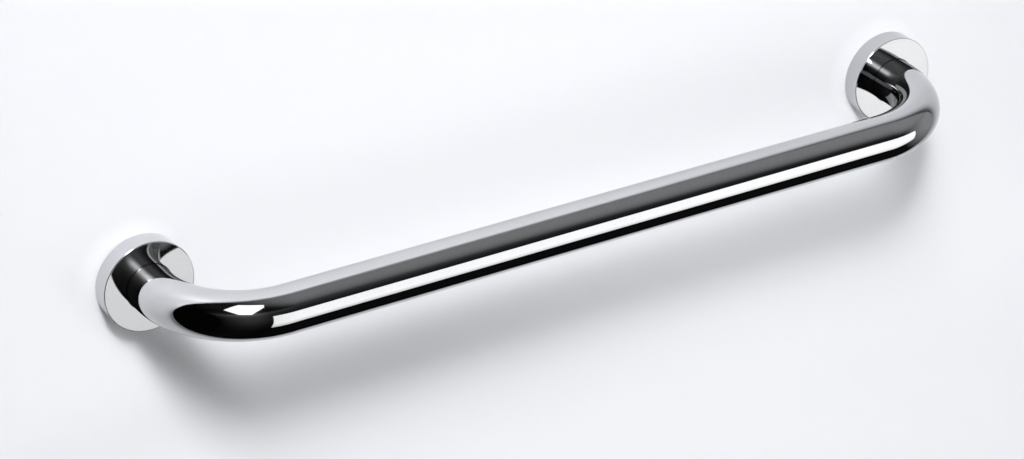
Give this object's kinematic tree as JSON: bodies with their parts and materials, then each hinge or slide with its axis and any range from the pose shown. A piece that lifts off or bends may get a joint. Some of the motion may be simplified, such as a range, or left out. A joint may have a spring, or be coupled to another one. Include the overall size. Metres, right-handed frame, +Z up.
{
  "type": "grab bar",
  "caption": "Wall-mounted bathroom grab bar: a bent chromed tube between round flat-faced rosettes that hide the wall brackets, for holding on to beside a bath or shower.",
  "frame": {"origin": "on the wall plane, midway between the two rosettes, at the height of their centres", "axes": "+X along the bar, +Y into the wall, so the bar stands out towards -Y, +Z up"},
  "size_m": [0.499, 0.0765, 0.049],
  "materials": {
    "chrome_plate": "bright polished chrome plate on brass",
    "plug_brass": "bare turned brass",
    "bracket_steel": "zinc-plated turned steel",
    "screw_steel": "plain stainless steel"
  },
  "bodies": {
    "root": {"grab_tube": "chrome_plate", "left_rosette": "chrome_plate", "left_end_plug": "plug_brass", "left_tie_screw": "screw_steel", "left_lock_washer": "screw_steel", "left_wall_bracket": "bracket_steel", "left_grub_screw": "screw_steel", "right_rosette": "chrome_plate", "right_end_plug": "plug_brass", "right_tie_screw": "screw_steel", "right_lock_washer": "screw_steel", "right_wall_bracket": "bracket_steel", "right_grub_screw": "screw_steel"}
  },
  "joints": []
}
